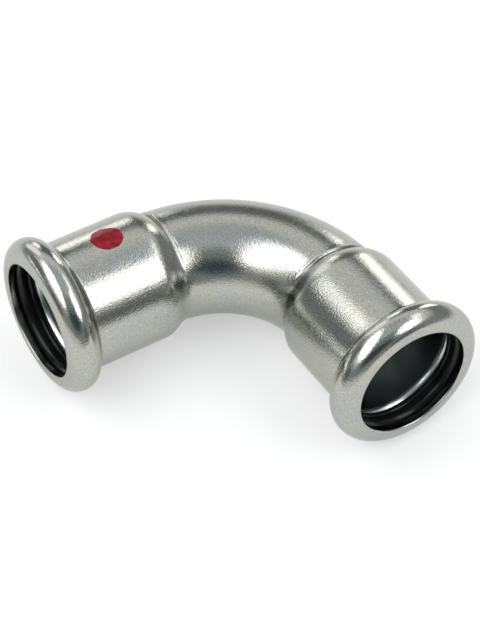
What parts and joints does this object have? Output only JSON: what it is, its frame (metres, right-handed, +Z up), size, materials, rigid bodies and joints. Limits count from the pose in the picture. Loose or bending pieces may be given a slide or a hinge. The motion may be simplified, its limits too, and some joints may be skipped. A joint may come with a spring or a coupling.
{
  "type": "press fitting elbow",
  "caption": "Zinc-plated steel 90 degree press elbow: a bent tube with a wide socket and a rolled bead at each end, each bead holding a black rubber seal for a 22 mm pipe.",
  "frame": {"origin": "on the ground, under the middle of the part's box, with the elbow lying on both beads and the belly of its bend", "axes": "+Z up; the left socket's mouth faces -X and the right socket's mouth faces -Y, both tipped up about 8 degrees"},
  "size_m": [0.0676, 0.0676, 0.0308],
  "materials": {
    "zinc_plated_steel": "bright zinc plating over formed carbon steel, semi-gloss",
    "black_rubber": "smooth moulded rubber, lightly greased"
  },
  "bodies": {
    "root": {"elbow_body": "zinc_plated_steel", "seal_left": "black_rubber", "seal_right": "black_rubber"}
  },
  "joints": []
}
